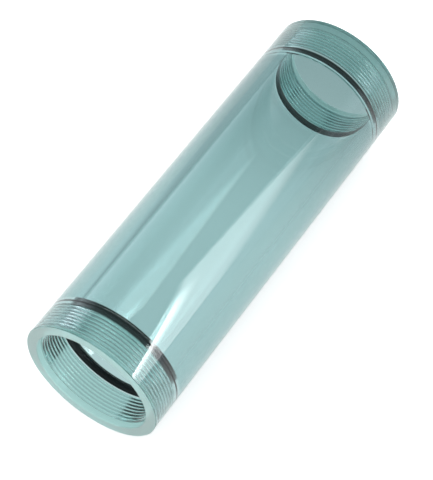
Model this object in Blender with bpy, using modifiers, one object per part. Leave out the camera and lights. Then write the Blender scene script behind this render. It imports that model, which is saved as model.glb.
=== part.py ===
"""Sight glass: a clear tube with an internal screw thread and an O-ring groove at each end.

The tube lies along X on the plane z = 0, with its middle above the origin. Both ends are alike: a plain
lead-in, a right-hand thread cut into the wall, and behind the thread an O-ring in its groove.
"""

import math

import bmesh
import bpy

# Driving dimensions, in metres
TUBE_LENGTH = 0.181
TUBE_DIAMETER = 0.060
BORE_DIAMETER = 0.045
EDGE_CHAMFER = 0.0003

# Both ends are alike, and each depth runs inwards from the end face
LEAD_IN_DIAMETER = 0.0504
LEAD_IN_DEPTH = 0.0027
THREAD_DIAMETER = 0.050
THREAD_PITCH = 0.0015
THREAD_END_DEPTH = 0.0142

# The groove is sized and placed by the ring that sits in it
RING_SECTION = 0.003
RING_STAND_PROUD = 0.0003
RING_CLEARANCE = 0.0003

# Fineness of the curved surfaces
ROUND_STEPS = 40
RING_SECTION_STEPS = 16
MERGE_DISTANCE = 0.00001
SHARP_ANGLE = math.radians(25)

# Sizes that follow from those above, with the thread's shape as in ISO metric threads
HALF_STEP = math.pi / ROUND_STEPS
TUBE_RADIUS = TUBE_DIAMETER / 2
# The outside is drawn round the true circle, so that its flats, on one of which it lies, touch it
TUBE_CORNER_RADIUS = TUBE_RADIUS / math.cos(HALF_STEP)
BORE_RADIUS = BORE_DIAMETER / 2
LEAD_IN_RADIUS = LEAD_IN_DIAMETER / 2
SHARP_THREAD_HEIGHT = THREAD_PITCH * math.sqrt(3) / 2
THREAD_ROOT_RADIUS = THREAD_DIAMETER / 2
THREAD_CREST_RADIUS = THREAD_ROOT_RADIUS - SHARP_THREAD_HEIGHT * 5 / 8
RING_RADIUS = BORE_RADIUS - RING_STAND_PROUD + RING_SECTION / 2
GROOVE_RADIUS = RING_RADIUS + RING_SECTION / 2 + RING_CLEARANCE
GROOVE_WIDTH = RING_SECTION + 2 * RING_CLEARANCE
GROOVE_END_DEPTH = THREAD_END_DEPTH + GROOVE_WIDTH
RING_DEPTH = THREAD_END_DEPTH + GROOVE_WIDTH / 2


def clear_scene():
    for obj in list(bpy.data.objects):
        bpy.data.objects.remove(obj, do_unlink=True)


def new_collection(name):
    collection = bpy.data.collections.new(name)
    bpy.context.scene.collection.children.link(collection)
    return collection


def new_material(name, colour, roughness):
    material = bpy.data.materials.new(name)
    material.use_nodes = True
    shader = material.node_tree.nodes["Principled BSDF"]
    shader.inputs["Base Color"].default_value = (*colour, 1.0)
    shader.inputs["Roughness"].default_value = roughness
    shader.inputs["Metallic"].default_value = 0.0
    return material


def clear_acrylic():
    material = new_material("clear_acrylic", (0.42, 0.68, 0.67), 0.03)
    shader = material.node_tree.nodes["Principled BSDF"]
    shader.inputs["IOR"].default_value = 1.49
    shader.inputs["Transmission Weight"].default_value = 1.0
    return material


def black_rubber():
    return new_material("black_rubber", (0.012, 0.014, 0.016), 0.45)


def turned_mesh(name, outline, turns=1, rise=0.0):
    """The solid swept by a closed outline of (radius, height) points going round Z, rising as it goes."""
    sketch_mesh = bpy.data.meshes.new(name)
    edges = [(i, (i + 1) % len(outline)) for i in range(len(outline))]
    sketch_mesh.from_pydata([(radius, 0.0, height) for radius, height in outline], edges, [])
    sketch = bpy.data.objects.new(name, sketch_mesh)
    bpy.context.scene.collection.objects.link(sketch)
    screw = sketch.modifiers.new("turned", "SCREW")
    screw.axis = "Z"
    screw.steps = ROUND_STEPS
    screw.render_steps = ROUND_STEPS
    screw.iterations = turns
    screw.screw_offset = rise
    graph = bpy.context.evaluated_depsgraph_get()
    mesh = bpy.data.meshes.new_from_object(sketch.evaluated_get(graph))
    bpy.data.objects.remove(sketch, do_unlink=True)
    close_and_shade(mesh)
    return mesh


def close_and_shade(mesh):
    """Welds the seam of a full turn, or caps the two ends of a helix, and keeps only real edges sharp."""
    shape = bmesh.new()
    shape.from_mesh(mesh)
    bmesh.ops.remove_doubles(shape, verts=shape.verts, dist=MERGE_DISTANCE)
    bmesh.ops.holes_fill(shape, edges=[edge for edge in shape.edges if edge.is_boundary])
    bmesh.ops.recalc_face_normals(shape, faces=shape.faces)
    shape.to_mesh(mesh)
    shape.free()
    mesh.shade_smooth()
    mesh.set_sharp_from_angle(angle=SHARP_ANGLE)


def end_outline():
    """(radius, depth) of one end, over its face and down its inside to the edge of the plain bore."""
    return [
        (TUBE_CORNER_RADIUS, EDGE_CHAMFER),
        (TUBE_CORNER_RADIUS - EDGE_CHAMFER, 0.0),
        (LEAD_IN_RADIUS + EDGE_CHAMFER, 0.0),
        (LEAD_IN_RADIUS, EDGE_CHAMFER),
        (LEAD_IN_RADIUS, LEAD_IN_DEPTH),
        (THREAD_CREST_RADIUS, LEAD_IN_DEPTH),
        (THREAD_CREST_RADIUS, THREAD_END_DEPTH),
        (GROOVE_RADIUS, THREAD_END_DEPTH),
        (GROOVE_RADIUS, GROOVE_END_DEPTH),
        (BORE_RADIUS, GROOVE_END_DEPTH),
    ]


def thread_outline():
    """The V that cuts the thread. It reaches in past the crests, but stays narrower than the pitch."""
    inner_radius = THREAD_ROOT_RADIUS - SHARP_THREAD_HEIGHT * 3 / 4
    return [
        (THREAD_ROOT_RADIUS, THREAD_PITCH / 16),
        (THREAD_ROOT_RADIUS, -THREAD_PITCH / 16),
        (inner_radius, -THREAD_PITCH * 7 / 16),
        (inner_radius, THREAD_PITCH * 7 / 16),
    ]


def cut_thread(tube, helix, name, height, turned_over, collection):
    """Cuts one thread. A helix turned end over end keeps its hand, so one mesh serves both ends.

    The cutter's facets lie half a step round from the tube's, so that no two edges coincide.
    """
    cutter = bpy.data.objects.new(name, helix)
    cutter.parent = tube.parent
    cutter.location.z = height
    cutter.rotation_euler.x = math.pi if turned_over else 0.0
    cutter.hide_render = True
    cutter.display_type = "WIRE"
    collection.objects.link(cutter)
    boolean = tube.modifiers.new(name, "BOOLEAN")
    boolean.operation = "DIFFERENCE"
    boolean.solver = "EXACT"
    boolean.object = cutter


def sight_tube(axis, parts, cutters):
    """The clear tube, turned in one piece, with a right-hand thread cut into each end.

    Each helix starts in the open lead-in and stops in the open O-ring groove, in whole turns.
    """
    near_end = end_outline()
    far_end = [(radius, TUBE_LENGTH - depth) for radius, depth in near_end]
    mesh = turned_mesh("sight_tube", near_end[::-1] + far_end)
    tube = bpy.data.objects.new("sight_tube", mesh)
    tube.parent = axis
    tube.rotation_euler.z = HALF_STEP
    mesh.materials.append(clear_acrylic())
    parts.objects.link(tube)
    thread_length = THREAD_END_DEPTH - LEAD_IN_DEPTH
    turns = math.ceil(thread_length / THREAD_PITCH)
    start_depth = LEAD_IN_DEPTH - (turns * THREAD_PITCH - thread_length) / 2
    helix = turned_mesh("thread_cutter", thread_outline(), turns, THREAD_PITCH)
    cut_thread(tube, helix, "left_thread_cutter", start_depth, False, cutters)
    cut_thread(tube, helix, "right_thread_cutter", TUBE_LENGTH - start_depth, True, cutters)


def o_ring(name, axis, height, material, collection):
    bpy.ops.mesh.primitive_torus_add(
        major_segments=ROUND_STEPS,
        minor_segments=RING_SECTION_STEPS,
        major_radius=RING_RADIUS,
        minor_radius=RING_SECTION / 2,
        location=(0.0, 0.0, height),
    )
    ring = bpy.context.object
    ring.name = name
    ring.data.name = name
    ring.parent = axis
    ring.data.shade_smooth()
    ring.data.materials.append(material)
    for owner in list(ring.users_collection):
        owner.objects.unlink(ring)
    collection.objects.link(ring)


def main():
    clear_scene()
    parts = new_collection("sight_glass")
    cutters = new_collection("cutters")
    axis = bpy.data.objects.new("tube_axis", None)
    axis.location = (-TUBE_LENGTH / 2, 0.0, TUBE_RADIUS)
    axis.rotation_euler.y = math.pi / 2
    parts.objects.link(axis)
    sight_tube(axis, parts, cutters)
    rubber = black_rubber()
    o_ring("left_o_ring", axis, RING_DEPTH, rubber, parts)
    o_ring("right_o_ring", axis, TUBE_LENGTH - RING_DEPTH, rubber, parts)


main()
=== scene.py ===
import math

import bpy
from mathutils import Euler, Matrix, Vector


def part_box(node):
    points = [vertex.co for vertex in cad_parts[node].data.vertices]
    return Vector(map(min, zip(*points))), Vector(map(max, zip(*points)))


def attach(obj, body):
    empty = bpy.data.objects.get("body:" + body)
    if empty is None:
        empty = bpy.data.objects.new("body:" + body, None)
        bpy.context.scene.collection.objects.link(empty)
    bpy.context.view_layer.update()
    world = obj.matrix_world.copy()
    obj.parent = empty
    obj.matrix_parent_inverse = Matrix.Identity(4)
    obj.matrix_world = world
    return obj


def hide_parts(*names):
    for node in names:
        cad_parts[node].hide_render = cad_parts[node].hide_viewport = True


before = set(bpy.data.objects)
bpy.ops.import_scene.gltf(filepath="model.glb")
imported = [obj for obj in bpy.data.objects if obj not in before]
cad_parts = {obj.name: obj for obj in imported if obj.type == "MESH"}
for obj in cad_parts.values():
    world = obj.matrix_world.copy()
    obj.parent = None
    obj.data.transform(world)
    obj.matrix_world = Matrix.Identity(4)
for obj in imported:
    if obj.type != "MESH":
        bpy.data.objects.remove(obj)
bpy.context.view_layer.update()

bl_info = {
    "name": "Sight Glass",
    "version": (1, 0, 0),
    "blender": (4, 5, 0),
    "location": "View3D > Sidebar > Sight Glass",
    "description": "Builds a clear threaded sight tube with its O-rings, and the studio it lies in",
    "category": "Add Mesh",
}

TUBE_LOW, TUBE_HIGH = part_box("sight_tube")
RING_LOW, RING_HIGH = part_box("left_o_ring")

# The frame gives the outside of the tube, and the size and place of a ring
TUBE_LENGTH = TUBE_HIGH.x - TUBE_LOW.x
TUBE_DIAMETER = TUBE_HIGH.z - TUBE_LOW.z
TUBE_START = TUBE_LOW.x
AXIS_HEIGHT = (TUBE_LOW.z + TUBE_HIGH.z) / 2
RING_SECTION = RING_HIGH.x - RING_LOW.x
RING_OUTER_DIAMETER = RING_HIGH.z - RING_LOW.z
RING_DEPTH = (RING_LOW.x + RING_HIGH.x) / 2 - TUBE_START

# Depth of an ISO metric thread, in pitches
THREAD_HEIGHT = math.sqrt(3) / 2 * 5 / 8
# Vertices closer than this are one vertex
WELD = 0.000002
# Vertices this close to a height or a radius lie at it
SLICE = 0.00001
# Edges sharper than this stay sharp
TURNED_EDGE = math.radians(25)
MOULDED_EDGE = math.radians(40)

# Patterns in the surfaces, in marks per metre
SMUDGES = 60.0
TOOL_RINGS = 9000.0
RUBBER_PATCHES = 90.0
RUBBER_GRAIN = 4000.0
# What a smudge adds to the roughness of the polish, at most
SMUDGE_ROUGHNESS = 0.02
# How deep each pattern is, and how strongly it shows
TOOL_RING_DEPTH = 0.00002
TOOL_RING_STRENGTH = 0.25
GRAIN_DEPTH = 0.00005
GRAIN_STRENGTH = 0.15
# The rubber's patches, as times its colour, and its roughness where they are least and what they add
DARK_PATCH = 0.7
PALE_PATCH = 1.3
RUBBER_ROUGHNESS = 0.32
PATCH_ROUGHNESS = 0.3
RUBBER_SHINE = 0.25

# Brightness of the studio, of which its colours are shares, and of the white backdrop
ROOM_STRENGTH = 4.0
BACKDROP_GLOW = 1.2
# How far sideways a ray heads, from 0 to 1, where the side walls start and where they are all it sees
SIDE_WALLS_START = 0.65
SIDE_WALLS_END = 0.95
# Where a painted shadow starts to dim the floor and where it is darkest, in tube lengths to the right of the
# middle
FLOOR_SHADOW_START = 0.05
FLOOR_SHADOW_END = 0.65
FLOOR_SIZE = 20
FLOOR_HEIGHT = -0.0002
FLOOR_ROUGHNESS = 0.8
# How far along the key's top edge its flag has moved for each metre down, and how soft its edge is
FLAG_SLOPE = 1.16
FLAG_SOFTNESS = 0.015
# How far down the key its hot part starts and is full, in widths of that part
HOT_START = 0.5
HOT_FULL = 2
# Over this length, past its fade, the key's glow dies away
FADE_LENGTH = 0.14
CAMERA_CLIP_START = 0.01
# Enough for light to cross every wall of the tube
BOUNCES = 24


def length(name, description, default):
    return bpy.props.FloatProperty(
        name=name, description=description, default=default, unit="LENGTH", precision=5
    )


def share(name, description, default):
    return bpy.props.FloatProperty(
        name=name, description=description, default=default, subtype="FACTOR", min=0, max=1
    )


def colour(name, description, default):
    return bpy.props.FloatVectorProperty(
        name=name, description=description, default=default, subtype="COLOR", size=3, min=0, max=1
    )


def place(name, description, default):
    return bpy.props.FloatVectorProperty(
        name=name, description=description, default=default, subtype="TRANSLATION", size=3
    )


class TubeSettings(bpy.types.PropertyGroup):
    bore: length("Bore", "Diameter of the plain bore", 0.045)
    chamfer: length("Chamfer", "Width of the broken edges", 0.0003)
    lead_in: length("Lead-in", "Diameter of the plain lead-in", 0.0504)
    lead_in_depth: length("Lead-in depth", "From the end face to the thread", 0.0027)
    thread: length("Thread", "Root diameter of the internal thread", 0.050)
    pitch: length("Pitch", "Rise of the thread in one turn", 0.0015)
    crest_rounding: length("Crest rounding", "Bevel on the edges of the thread's crest", 0.00007)
    root_rounding: length("Root rounding", "Bevel on the edges of the thread's root", 0.00008)
    groove_depth: length("Groove start", "From the end face to the O-ring groove", 0.0142)
    groove_width: length("Groove width", "Width of the O-ring groove", 0.0036)
    ring_squeeze: length("Ring squeeze", "How far the groove's floor presses into the ring", 0.00005)
    steps: bpy.props.IntProperty(
        name="Steps", description="Flats round a full turn", default=256, min=32
    )


class RingSettings(bpy.types.PropertyGroup):
    flash_height: length("Flash height", "How far the moulding line stands out", 0.00005)
    steps: bpy.props.IntProperty(
        name="Steps", description="Flats round the ring", default=256, min=32
    )
    section_steps: bpy.props.IntProperty(
        name="Section steps", description="Flats round the ring's section", default=48, min=12
    )


class FinishSettings(bpy.types.PropertyGroup):
    tint: colour("Tint", "Colour that the acrylic lets through", (0.14, 0.52, 0.53))
    density: bpy.props.FloatProperty(
        name="Density", description="Strength of the tint, per metre", default=50.0, min=0
    )
    acrylic_ior: bpy.props.FloatProperty(
        name="Acrylic IOR", description="Index of refraction of the acrylic", default=1.49, min=1
    )
    machined_roughness: share("Machined roughness", "Roughness of the threads", 0.07)
    faced_roughness: share("Faced roughness", "Roughness of the end faces and lead-ins", 0.28)
    machined_frost: share("Machined frost", "How cloudy the threads are", 0.15)
    faced_frost: share("Faced frost", "How cloudy the end faces and lead-ins are", 0.34)
    frost: colour("Frost", "Colour of the cloudy surfaces", (0.60, 0.89, 0.85))
    # Painted shade that the thread's colour darkens to at its root
    root_painted_shade: colour("Thread root", "Colour at the bottom of the thread", (0.40, 0.58, 0.56))
    rubber: colour("Rubber", "Colour of the O-rings", (0.006, 0.008, 0.009))


class StageSettings(bpy.types.PropertyGroup):
    camera_place: place("Camera place", "Where the camera stands", (-0.3659, -0.2380, 0.6468))
    camera_target: place("Camera target", "What the camera looks at", (-0.0066, -0.0021, 0.0254))
    lens: bpy.props.FloatProperty(
        name="Lens", description="Focal length, in millimetres", default=140.84, min=1
    )
    floor: colour("Floor", "Colour of the floor", (0.9, 0.9, 0.9))
    floor_glow: colour("Floor glow", "Light that softens the shadow on the floor", (0.45, 0.45, 0.45))
    lit_floor: colour("Lit floor", "The floor through the acrylic, by the tube", (0.62, 0.76, 0.76))
    # Painted shadow: the floor in the acrylic past the tube's right end is darker
    far_floor_painted_shadow: colour("Far floor", "The floor through the acrylic, past its right end", (0.335, 0.45, 0.455))
    room: colour("Room", "Colour of the studio in the acrylic", (0.085, 0.12, 0.12))
    side_walls: colour("Side walls", "The studio's side walls in the acrylic", (0.36, 0.38, 0.40))
    key_start: place("Key start", "The key's upper corner", (0.399, -0.510, 0.800))
    key_end: place("Key end", "The other end of the key's top edge", (0.787, -0.911, 0.298))
    key_depth: bpy.props.FloatProperty(
        name="Key depth", description="From the top edge down", default=0.5, unit="LENGTH"
    )
    key_glow: bpy.props.FloatProperty(
        name="Key glow", description="Brightness, times white", default=3.7, min=0
    )
    key_hot_glow: bpy.props.FloatProperty(
        name="Key hot glow", description="Extra brightness along the flag", default=18.0, min=0
    )
    key_fade: bpy.props.FloatProperty(
        name="Key fade", description="Where it starts, past the flag", default=0.29, unit="LENGTH"
    )
    key_hot_width: bpy.props.FloatProperty(
        name="Key hot width", description="Width of the hot part", default=0.10, unit="LENGTH"
    )


def deselect_all():
    bpy.ops.object.select_all(action="DESELECT")


def select_only(obj):
    deselect_all()
    obj.select_set(True)
    bpy.context.view_layer.objects.active = obj


def select_vertices(obj, wanted):
    """In edit mode, selects exactly the vertices whose place the test accepts."""
    bpy.ops.mesh.select_mode(type="VERT")
    bpy.ops.mesh.select_all(action="DESELECT")
    bpy.ops.object.mode_set(mode="OBJECT")
    for vertex in obj.data.vertices:
        vertex.select = wanted(vertex.co)
    bpy.ops.object.mode_set(mode="EDIT")


def radius_at(point):
    return math.hypot(point.x, point.y)


def draw_outline(name, points):
    """A line through the (radius, height) points, drawn by extruding one vertex, left in edit mode."""
    deselect_all()
    bpy.ops.mesh.primitive_plane_add(size=WELD, location=(0, 0, 0))
    obj = bpy.context.object
    obj.name = name
    obj.data.name = name
    bpy.ops.object.mode_set(mode="EDIT")
    bpy.ops.mesh.select_all(action="SELECT")
    bpy.ops.mesh.merge(type="CENTER")
    at = Vector((points[0][0], 0, points[0][1]))
    bpy.ops.transform.translate(value=at)
    for radius, height in points[1:]:
        step = Vector((radius, 0, height)) - at
        bpy.ops.mesh.extrude_region_move(TRANSFORM_OT_translate={"value": step})
        at += step
    return obj


def sweep_outline(obj, steps, turns=1, rise=0.0):
    """Turns the outline about Z, rising as it goes, and welds where one turn meets the next."""
    bpy.ops.object.mode_set(mode="OBJECT")
    screw = obj.modifiers.new("turned", "SCREW")
    screw.axis = "Z"
    screw.steps = steps
    screw.render_steps = steps
    screw.iterations = turns
    screw.screw_offset = rise
    bpy.ops.object.modifier_apply(modifier=screw.name)
    bpy.ops.object.mode_set(mode="EDIT")
    bpy.ops.mesh.select_all(action="SELECT")
    bpy.ops.mesh.remove_doubles(threshold=WELD)
    bpy.ops.object.mode_set(mode="OBJECT")


def join(first, *others):
    deselect_all()
    for obj in (first, *others):
        obj.select_set(True)
    bpy.context.view_layer.objects.active = first
    bpy.ops.object.join()


def lay_along_x(obj):
    """Turns a piece built up Z down along X, onto the tube's axis, with its place in its mesh."""
    select_only(obj)
    obj.rotation_euler = Euler((0, math.pi / 2, 0))
    obj.location = (TUBE_START, 0, AXIS_HEIGHT)
    bpy.ops.object.transform_apply(location=True, rotation=True, scale=True)


def finish_shading(obj, angle):
    """Turns every face outwards and shades it smooth, apart from edges sharper than the angle."""
    select_only(obj)
    bpy.ops.object.mode_set(mode="EDIT")
    bpy.ops.mesh.select_all(action="SELECT")
    bpy.ops.mesh.normals_make_consistent(inside=False)
    bpy.ops.object.mode_set(mode="OBJECT")
    bpy.ops.object.shade_smooth_by_angle(angle=angle)


def new_material(name):
    material = bpy.data.materials.new(name)
    material.use_nodes = True
    nodes = material.node_tree.nodes
    return material, nodes, material.node_tree.links, nodes["Principled BSDF"]


def add_math(nodes, links, operation, first, second=0.0, third=0.0):
    node = nodes.new("ShaderNodeMath")
    node.operation = operation
    for socket, value in zip(node.inputs, (first, second, third)):
        if isinstance(value, bpy.types.NodeSocket):
            links.new(value, socket)
        else:
            socket.default_value = value
    return node.outputs["Value"]


def smooth_step(nodes, links, value, start, end):
    """Rises smoothly from 0 at start to 1 at end, which may be the lower of the two."""
    ramp = nodes.new("ShaderNodeMapRange")
    ramp.interpolation_type = "SMOOTHSTEP"
    ramp.inputs["From Min"].default_value = start
    ramp.inputs["From Max"].default_value = end
    links.new(value, ramp.inputs["Value"])
    return ramp.outputs["Result"]


def mix_colours(nodes, links, factor, first, second):
    """first where the factor is 0, and second where it is 1."""
    choice = nodes.new("ShaderNodeMix")
    choice.data_type = "RGBA"
    links.new(factor, choice.inputs["Factor"])
    for socket, value in ((choice.inputs["A"], first), (choice.inputs["B"], second)):
        if isinstance(value, bpy.types.NodeSocket):
            links.new(value, socket)
        else:
            socket.default_value = (*value, 1)
    return choice.outputs["Result"]


def coordinates(nodes, links, kind):
    """X, Y and Z of one kind of texture coordinates."""
    parts = nodes.new("ShaderNodeSeparateXYZ")
    links.new(nodes.new("ShaderNodeTexCoord").outputs[kind], parts.inputs["Vector"])
    return parts.outputs["X"], parts.outputs["Y"], parts.outputs["Z"]


def axis_places(nodes, links):
    """The distance from the tube's axis, and the place along it."""
    along, across, up = coordinates(nodes, links, "Object")
    height = add_math(nodes, links, "SUBTRACT", up, AXIS_HEIGHT)
    across_square = add_math(nodes, links, "MULTIPLY", across, across)
    square = add_math(nodes, links, "MULTIPLY_ADD", height, height, across_square)
    return add_math(nodes, links, "SQRT", square), along


def noise(nodes, links, scale, detail):
    texture = nodes.new("ShaderNodeTexNoise")
    texture.inputs["Scale"].default_value = scale
    texture.inputs["Detail"].default_value = detail
    links.new(nodes.new("ShaderNodeTexCoord").outputs["Object"], texture.inputs["Vector"])
    return texture.outputs["Fac"]


def add_bump(nodes, links, shader, pattern, depth, strength):
    bump = nodes.new("ShaderNodeBump")
    bump.inputs["Strength"].default_value = strength
    bump.inputs["Distance"].default_value = depth
    links.new(pattern, bump.inputs["Height"])
    links.new(bump.outputs["Normal"], shader.inputs["Normal"])


def clear_acrylic(tube, finish):
    """Tinted clear acrylic: polished outside and in the bore, cloudy where a tool has turned it."""
    material, nodes, links, shader = new_material("clear_acrylic")
    shader.inputs["IOR"].default_value = finish.acrylic_ior
    radius, along = axis_places(nodes, links)
    inside_wall = add_math(nodes, links, "GREATER_THAN", radius, tube.bore / 2 + tube.chamfer)
    under_skin = add_math(nodes, links, "LESS_THAN", radius, TUBE_DIAMETER / 2 - tube.chamfer / 2)
    in_wall = add_math(nodes, links, "MULTIPLY", inside_wall, under_skin)
    off_middle = add_math(nodes, links, "ABSOLUTE", along)
    face_start = TUBE_LENGTH / 2 - tube.lead_in_depth - SLICE
    at_end = add_math(nodes, links, "GREATER_THAN", off_middle, face_start)
    faced = add_math(nodes, links, "MULTIPLY", in_wall, at_end)
    # The ring presses wet against its groove, so the tool's marks there don't show
    thread_start = TUBE_LENGTH / 2 - tube.groove_depth - SLICE
    past_groove = add_math(nodes, links, "GREATER_THAN", off_middle, thread_start)
    turned = add_math(nodes, links, "MULTIPLY", in_wall, past_groove)
    threaded = add_math(nodes, links, "SUBTRACT", turned, faced)

    smudges = noise(nodes, links, SMUDGES, detail=3.0)
    wipe = add_math(nodes, links, "MULTIPLY", smudges, SMUDGE_ROUGHNESS)
    satin = add_math(nodes, links, "MULTIPLY_ADD", threaded, finish.machined_roughness, wipe)
    rough = add_math(nodes, links, "MULTIPLY_ADD", faced, finish.faced_roughness, satin)
    links.new(rough, shader.inputs["Roughness"])

    some_frost = add_math(nodes, links, "MULTIPLY", threaded, finish.machined_frost)
    frost = add_math(nodes, links, "MULTIPLY_ADD", faced, finish.faced_frost, some_frost)
    clear = add_math(nodes, links, "SUBTRACT", 1.0, frost)
    links.new(clear, shader.inputs["Transmission Weight"])
    # Painted shade: the thread's colour darkens towards its root, standing in for shade in the thread's
    # hollows
    crest = tube.thread / 2 - tube.pitch * THREAD_HEIGHT
    depth_share = smooth_step(nodes, links, radius, crest, tube.thread / 2)
    root_shade_share = add_math(nodes, links, "MULTIPLY", depth_share, threaded)
    # Painted shade mixed in towards the thread's root
    frosted = mix_colours(nodes, links, root_shade_share, finish.frost, finish.root_painted_shade)
    tone = mix_colours(nodes, links, turned, (1, 1, 1), frosted)
    links.new(tone, shader.inputs["Base Color"])

    # The tool leaves fine rings, which run out across a face and along a bore
    run = add_math(nodes, links, "ADD", radius, off_middle)
    rings = nodes.new("ShaderNodeTexNoise")
    rings.noise_dimensions = "1D"
    rings.inputs["Scale"].default_value = TOOL_RINGS
    links.new(run, rings.inputs["W"])
    marks = add_math(nodes, links, "MULTIPLY", rings.outputs["Fac"], turned)
    add_bump(nodes, links, shader, marks, TOOL_RING_DEPTH, TOOL_RING_STRENGTH)

    absorption = nodes.new("ShaderNodeVolumeAbsorption")
    absorption.inputs["Color"].default_value = (*finish.tint, 1)
    absorption.inputs["Density"].default_value = finish.density
    links.new(absorption.outputs["Volume"], nodes["Material Output"].inputs["Volume"])
    return material


def black_rubber(finish):
    """Moulded rubber with a fine matt grain, wiped with a little lubricant."""
    material, nodes, links, shader = new_material("black_rubber")
    patches = noise(nodes, links, RUBBER_PATCHES, detail=2.0)
    dark = [DARK_PATCH * value for value in finish.rubber]
    pale = [PALE_PATCH * value for value in finish.rubber]
    links.new(mix_colours(nodes, links, patches, dark, pale), shader.inputs["Base Color"])
    rough = add_math(nodes, links, "MULTIPLY_ADD", patches, PATCH_ROUGHNESS, RUBBER_ROUGHNESS)
    links.new(rough, shader.inputs["Roughness"])
    # Pressed wet against the acrylic, the rubber hardly shines
    shader.inputs["Specular IOR Level"].default_value = RUBBER_SHINE
    grain = noise(nodes, links, RUBBER_GRAIN, detail=2.0)
    add_bump(nodes, links, shader, grain, GRAIN_DEPTH, GRAIN_STRENGTH)
    return material


def turned_skin(name, end, steps):
    """Turned from the (radius, height) points of one end and the like points of the other."""
    other_end = [(radius, TUBE_LENGTH - height) for radius, height in reversed(end)]
    obj = draw_outline(name, end + other_end)
    sweep_outline(obj, steps)
    return obj


def outer_skin(tube):
    """From inside one lead-in, over the end face, along the outside and into the other lead-in."""
    outer = TUBE_DIAMETER / 2
    lead_in = tube.lead_in / 2
    end = [
        (lead_in, tube.lead_in_depth),
        (lead_in, tube.chamfer),
        (lead_in + tube.chamfer, 0.0),
        (outer - tube.chamfer, 0.0),
        (outer, tube.chamfer),
    ]
    return turned_skin("clear_tube", end, tube.steps)


def inner_skin(tube):
    """From one O-ring groove, over its edge, along the bore and into the other groove."""
    groove = RING_OUTER_DIAMETER / 2 - tube.ring_squeeze
    bore = tube.bore / 2
    groove_end = tube.groove_depth + tube.groove_width
    end = [
        (groove, tube.groove_depth),
        (groove, groove_end),
        (bore + tube.chamfer, groove_end),
        (bore, groove_end + tube.chamfer),
    ]
    return turned_skin("inner_skin", end, tube.steps)


def thread_skin(tube):
    """The threaded wall of one end: one pitch of the thread, wound up its helix and cut off square."""
    root = tube.thread / 2
    pitch = tube.pitch
    crest = root - pitch * THREAD_HEIGHT
    outline = [
        (crest, 0.0),
        (crest, pitch / 8),
        (root, pitch * 7 / 16),
        (root, pitch * 9 / 16),
        (crest, pitch * 7 / 8),
        (crest, pitch),
    ]
    obj = draw_outline("thread_skin", outline)
    for radius, rounding in ((crest, tube.crest_rounding), (root, tube.root_rounding)):
        select_vertices(
            obj,
            lambda point: abs(point.x - radius) < SLICE and SLICE < point.z < pitch - SLICE,
        )
        bpy.ops.mesh.bevel(affect="VERTICES", offset=rounding, segments=3, profile=0.5)
    depth = tube.groove_depth - tube.lead_in_depth
    turns = math.ceil(depth / pitch) + 2
    sweep_outline(obj, tube.steps, turns, pitch)
    bpy.ops.object.mode_set(mode="EDIT")
    bpy.ops.mesh.select_all(action="SELECT")
    bpy.ops.transform.translate(value=(0, 0, tube.lead_in_depth - 1.5 * pitch))
    for height, keep_above in ((tube.lead_in_depth, True), (tube.groove_depth, False)):
        bpy.ops.mesh.select_all(action="SELECT")
        bpy.ops.mesh.bisect(
            plane_co=(0, 0, height),
            plane_no=(0, 0, 1),
            clear_inner=keep_above,
            clear_outer=not keep_above,
            threshold=WELD,
        )
    bpy.ops.object.mode_set(mode="OBJECT")
    return obj


def turned_over(obj, name):
    """A copy for the other end. A helix turned end over end keeps its hand."""
    copy = obj.copy()
    copy.data = obj.data.copy()
    copy.name = name
    bpy.context.scene.collection.objects.link(copy)
    select_only(copy)
    copy.rotation_euler = Euler((math.pi, 0, 0))
    copy.location = (0, 0, TUBE_LENGTH)
    bpy.ops.object.transform_apply(location=True, rotation=True, scale=True)
    return copy


def select_open_loops(obj, height):
    """In edit mode, selects the open edges that lie at this height."""
    bpy.ops.mesh.select_mode(type="EDGE")
    bpy.ops.mesh.select_all(action="DESELECT")
    bpy.ops.mesh.select_non_manifold(
        extend=False, use_wire=False, use_boundary=True, use_multi_face=False,
        use_non_contiguous=False, use_verts=False,
    )
    bpy.ops.object.mode_set(mode="OBJECT")
    vertices = obj.data.vertices
    for edge in obj.data.edges:
        off_plane = max(abs(vertices[index].co.z - height) for index in edge.vertices)
        edge.select = edge.select and off_plane < SLICE
    bpy.ops.object.mode_set(mode="EDIT")


def close_steps(obj, tube):
    """Fills the flat step at each end of each thread."""
    bpy.ops.object.mode_set(mode="EDIT")
    steps = (tube.lead_in_depth, tube.groove_depth)
    for height in (*steps, *(TUBE_LENGTH - step for step in steps)):
        select_open_loops(obj, height)
        bpy.ops.mesh.fill(use_beauty=True)
    bpy.ops.mesh.select_all(action="SELECT")
    bpy.ops.mesh.remove_doubles(threshold=WELD)
    bpy.ops.object.mode_set(mode="OBJECT")


class SIGHTGLASS_OT_clear_tube(bpy.types.Operator):
    """Turns the clear tube and cuts its threads and O-ring grooves"""

    bl_idname = "sightglass.clear_tube"
    bl_label = "Clear Tube"

    def execute(self, context):
        tube = context.scene.sight_glass_tube
        finish = context.scene.sight_glass_finish
        obj = outer_skin(tube)
        left_thread = thread_skin(tube)
        right_thread = turned_over(left_thread, "right_thread")
        join(obj, inner_skin(tube), left_thread, right_thread)
        close_steps(obj, tube)
        lay_along_x(obj)
        finish_shading(obj, TURNED_EDGE)
        obj.data.materials.clear()
        obj.data.materials.append(clear_acrylic(tube, finish))
        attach(obj, "root")
        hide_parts("sight_tube")
        return {"FINISHED"}


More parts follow.
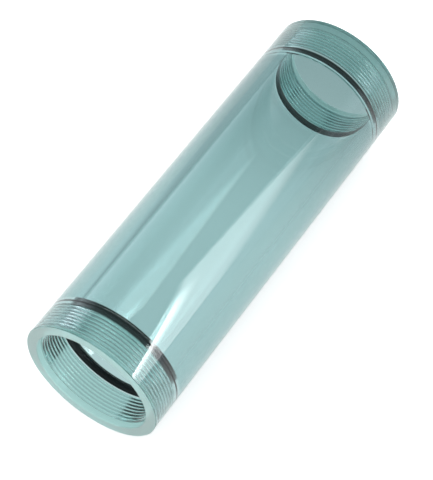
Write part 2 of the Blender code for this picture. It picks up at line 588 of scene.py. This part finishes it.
def moulded_ring(name, rings, height):
    """A ring of round section with the fine line that its mould leaves round the inside."""
    deselect_all()
    middle = (RING_OUTER_DIAMETER - RING_SECTION) / 2
    bpy.ops.mesh.primitive_torus_add(
        major_segments=rings.steps,
        minor_segments=rings.section_steps,
        major_radius=middle,
        minor_radius=RING_SECTION / 2,
        location=(0, 0, height),
    )
    ring = bpy.context.object
    ring.name = name
    ring.data.name = name
    bpy.ops.object.mode_set(mode="EDIT")
    inside = middle - RING_SECTION / 2
    select_vertices(ring, lambda point: abs(radius_at(point) - inside) < SLICE)
    flash = 1 - rings.flash_height / inside
    bpy.ops.transform.resize(value=(flash, flash, 1), center_override=(0, 0, height))
    bpy.ops.object.mode_set(mode="OBJECT")
    # Its height goes into its mesh before it is laid down
    bpy.ops.object.transform_apply(location=True, rotation=True, scale=True)
    return ring


class SIGHTGLASS_OT_o_rings(bpy.types.Operator):
    """Moulds the two black O-rings, which press against their grooves' floors"""

    bl_idname = "sightglass.o_rings"
    bl_label = "O-Rings"

    def execute(self, context):
        rings = context.scene.sight_glass_rings
        rubber = black_rubber(context.scene.sight_glass_finish)
        for name, node, height in (
            ("left_ring", "left_o_ring", RING_DEPTH),
            ("right_ring", "right_o_ring", TUBE_LENGTH - RING_DEPTH),
        ):
            ring = moulded_ring(name, rings, height)
            lay_along_x(ring)
            finish_shading(ring, MOULDED_EDGE)
            ring.data.materials.clear()
            ring.data.materials.append(rubber)
            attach(ring, "root")
            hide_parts(node)
        return {"FINISHED"}


def key_softbox(stage):
    """A softbox that hangs below its top edge, faces the tube and lights only what is glossy or clear.

    A flag covers one lower corner along a slanted line, and the box glows most along that line.
    """
    start, end = Vector(stage.key_start), Vector(stage.key_end)
    along = (end - start).normalized()
    aim = Vector((0, 0, AXIS_HEIGHT)) - (start + end) / 2
    back = -(aim - aim.dot(along) * along).normalized()
    up = back.cross(along)
    width, depth = (end - start).length, stage.key_depth
    light = bpy.data.lights.new("key", "AREA")
    light.shape = "RECTANGLE"
    light.size = width
    light.size_y = depth
    # With this energy, the strength of its emission is its brightness, times white
    light.energy = math.pi * width * depth
    obj = bpy.data.objects.new("key", light)
    bpy.context.scene.collection.objects.link(obj)
    obj.location = (start + end) / 2 - up * depth / 2
    obj.rotation_euler = Matrix((along, up, back)).transposed().to_euler()
    obj.visible_camera = False
    obj.visible_diffuse = False

    light.use_nodes = True
    nodes, links = light.node_tree.nodes, light.node_tree.links
    right, rise, _ = coordinates(nodes, links, "UV")
    down = add_math(nodes, links, "MULTIPLY_ADD", rise, -depth, depth)
    across = add_math(nodes, links, "MULTIPLY", right, width)
    past_flag = add_math(nodes, links, "MULTIPLY_ADD", down, -FLAG_SLOPE, across)
    open_part = smooth_step(nodes, links, past_flag, 0.0, FLAG_SOFTNESS)
    by_flag = smooth_step(nodes, links, past_flag, stage.key_hot_width, 0.0)
    hot_start, hot_full = HOT_START * stage.key_hot_width, HOT_FULL * stage.key_hot_width
    low_down = smooth_step(nodes, links, down, hot_start, hot_full)
    hot = add_math(nodes, links, "MULTIPLY", by_flag, low_down)
    plain = smooth_step(nodes, links, past_flag, stage.key_fade + FADE_LENGTH, stage.key_fade)
    even = add_math(nodes, links, "MULTIPLY", plain, stage.key_glow)
    glow = add_math(nodes, links, "MULTIPLY_ADD", hot, stage.key_hot_glow, even)
    strength = add_math(nodes, links, "MULTIPLY", glow, open_part)
    links.new(strength, nodes["Emission"].inputs["Strength"])


def plain_ray(nodes, links):
    """1 for what is seen straight on or lights a matt surface, 0 for what is seen in the acrylic."""
    rays = nodes.new("ShaderNodeLightPath").outputs
    return add_math(nodes, links, "MAXIMUM", rays["Is Camera Ray"], rays["Is Diffuse Ray"])


def studio_world(stage):
    """White all round, but the acrylic sees a dimmer room with paler side walls."""
    world = bpy.data.worlds.new("studio")
    world.use_nodes = True
    nodes, links = world.node_tree.nodes, world.node_tree.links
    background = nodes["Background"]
    background.inputs["Strength"].default_value = ROOM_STRENGTH
    _, across, _ = coordinates(nodes, links, "Generated")
    off_middle = add_math(nodes, links, "ABSOLUTE", across)
    sideways = smooth_step(nodes, links, off_middle, SIDE_WALLS_START, SIDE_WALLS_END)
    room = mix_colours(nodes, links, sideways, stage.room, stage.side_walls)
    backdrop = BACKDROP_GLOW / ROOM_STRENGTH
    seen = mix_colours(nodes, links, plain_ray(nodes, links), room, (backdrop, backdrop, backdrop))
    links.new(seen, background.inputs["Color"])
    bpy.context.scene.world = world


def studio_floor(stage):
    """Pale and matt, but the acrylic sees it glow, with a painted shadow dimming it past the tube's right
    end.
    """
    deselect_all()
    bpy.ops.mesh.primitive_plane_add(size=FLOOR_SIZE, location=(0, 0, FLOOR_HEIGHT))
    floor = bpy.context.object
    floor.name = "floor"
    material, nodes, links, shader = new_material("pale_floor")
    shader.inputs["Roughness"].default_value = FLOOR_ROUGHNESS
    along, _, _ = coordinates(nodes, links, "Object")
    shadow_start, shadow_end = FLOOR_SHADOW_START * TUBE_LENGTH, FLOOR_SHADOW_END * TUBE_LENGTH
    # Painted shadow of the tube's right end, on the floor seen through the acrylic
    painted_shadow_share = smooth_step(nodes, links, along, shadow_start, shadow_end)
    through = mix_colours(nodes, links, painted_shadow_share, stage.lit_floor, stage.far_floor_painted_shadow)
    in_acrylic = nodes.new("ShaderNodeLightPath").outputs["Is Transmission Ray"]
    matt = mix_colours(nodes, links, in_acrylic, stage.floor, (0, 0, 0))
    glow = mix_colours(nodes, links, in_acrylic, stage.floor_glow, through)
    links.new(matt, shader.inputs["Base Color"])
    links.new(glow, shader.inputs["Emission Color"])
    shader.inputs["Emission Strength"].default_value = 1.0
    floor.data.materials.append(material)


class SIGHTGLASS_OT_stage(bpy.types.Operator):
    """Sets the pale floor, the soft studio light and the camera"""

    bl_idname = "sightglass.stage"
    bl_label = "Stage"

    def execute(self, context):
        stage = context.scene.sight_glass_stage
        studio_world(stage)
        studio_floor(stage)
        key_softbox(stage)
        camera = bpy.data.objects.new("camera", bpy.data.cameras.new("camera"))
        context.scene.collection.objects.link(camera)
        camera.data.lens = stage.lens
        camera.data.clip_start = CAMERA_CLIP_START
        camera.location = stage.camera_place
        aim = Vector(stage.camera_target) - Vector(stage.camera_place)
        camera.rotation_euler = aim.to_track_quat("-Z", "Y").to_euler()
        context.scene.camera = camera
        context.scene.view_settings.view_transform = "Standard"
        context.scene.cycles.max_bounces = BOUNCES
        context.scene.cycles.transmission_bounces = BOUNCES
        return {"FINISHED"}


class SIGHTGLASS_PT_pieces(bpy.types.Panel):
    """Lists the pieces and the stage"""

    bl_label = "Sight Glass"
    bl_idname = "SIGHTGLASS_PT_pieces"
    bl_space_type = "VIEW_3D"
    bl_region_type = "UI"
    bl_category = "Sight Glass"

    def draw(self, context):
        for operator in OPERATORS:
            self.layout.operator(operator.bl_idname)


SETTINGS = {
    "sight_glass_tube": TubeSettings,
    "sight_glass_rings": RingSettings,
    "sight_glass_finish": FinishSettings,
    "sight_glass_stage": StageSettings,
}
OPERATORS = (SIGHTGLASS_OT_clear_tube, SIGHTGLASS_OT_o_rings, SIGHTGLASS_OT_stage)


def register():
    for group in (*SETTINGS.values(), *OPERATORS, SIGHTGLASS_PT_pieces):
        bpy.utils.register_class(group)
    for name, group in SETTINGS.items():
        setattr(bpy.types.Scene, name, bpy.props.PointerProperty(type=group))


def unregister():
    for name in SETTINGS:
        delattr(bpy.types.Scene, name)
    for group in (SIGHTGLASS_PT_pieces, *reversed(OPERATORS), *SETTINGS.values()):
        bpy.utils.unregister_class(group)


def main():
    register()
    bpy.ops.sightglass.clear_tube()
    bpy.ops.sightglass.o_rings()
    bpy.ops.sightglass.stage()


if __name__ == "__main__":
    main()
